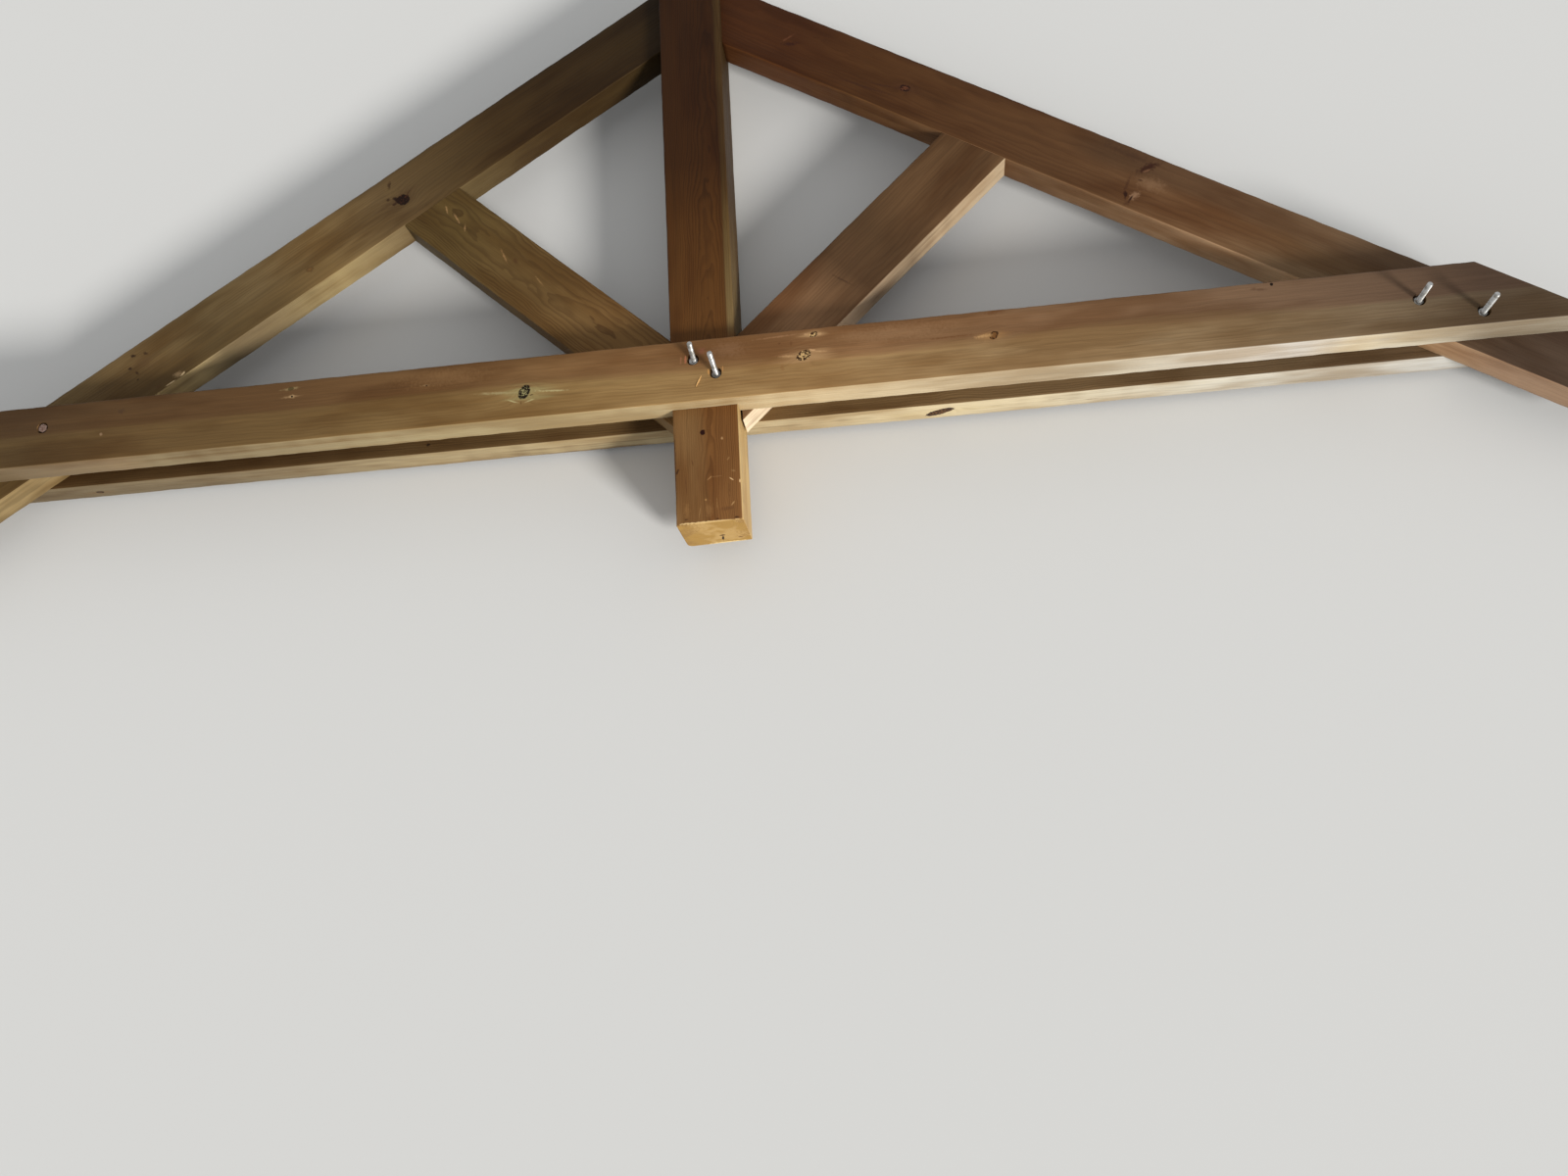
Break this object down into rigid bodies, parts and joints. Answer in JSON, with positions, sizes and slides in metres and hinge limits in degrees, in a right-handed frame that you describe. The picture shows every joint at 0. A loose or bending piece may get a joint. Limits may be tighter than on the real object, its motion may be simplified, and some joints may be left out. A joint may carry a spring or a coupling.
{
  "type": "timber roof truss",
  "caption": "King post roof truss of sawn pine, with twin raised ties, rafters and struts held together by steel through bolts.",
  "frame": {"origin": "centre of the bounding box in X and Y, on the floor that the truss lies on", "axes": "+X along the ties to the right in the picture, +Y up the truss from the ties to the apex, +Z from the back tie to the front tie"},
  "size_m": [4.248, 1.496, 0.346],
  "materials": {
    "timber": "rough sawn pine, unpainted",
    "timber_post": "rough sawn pine, unpainted, redder",
    "bolts": "zinc plated, dull"
  },
  "bodies": {
    "root": {"king_post": "timber_post", "tie_front": "timber", "tie_back": "timber", "rafter_left": "timber", "rafter_right": "timber", "strut_left": "timber", "strut_right": "timber", "bolt_post_upper": "bolts", "bolt_post_lower": "bolts", "bolt_right_inner": "bolts", "bolt_right_outer": "bolts", "bolt_left_inner": "bolts", "bolt_left_outer": "bolts", "nut_post_upper": "bolts", "nut_post_lower": "bolts", "nut_right_inner": "bolts", "nut_right_outer": "bolts", "nut_left_inner": "bolts", "nut_left_outer": "bolts"}
  },
  "joints": []
}
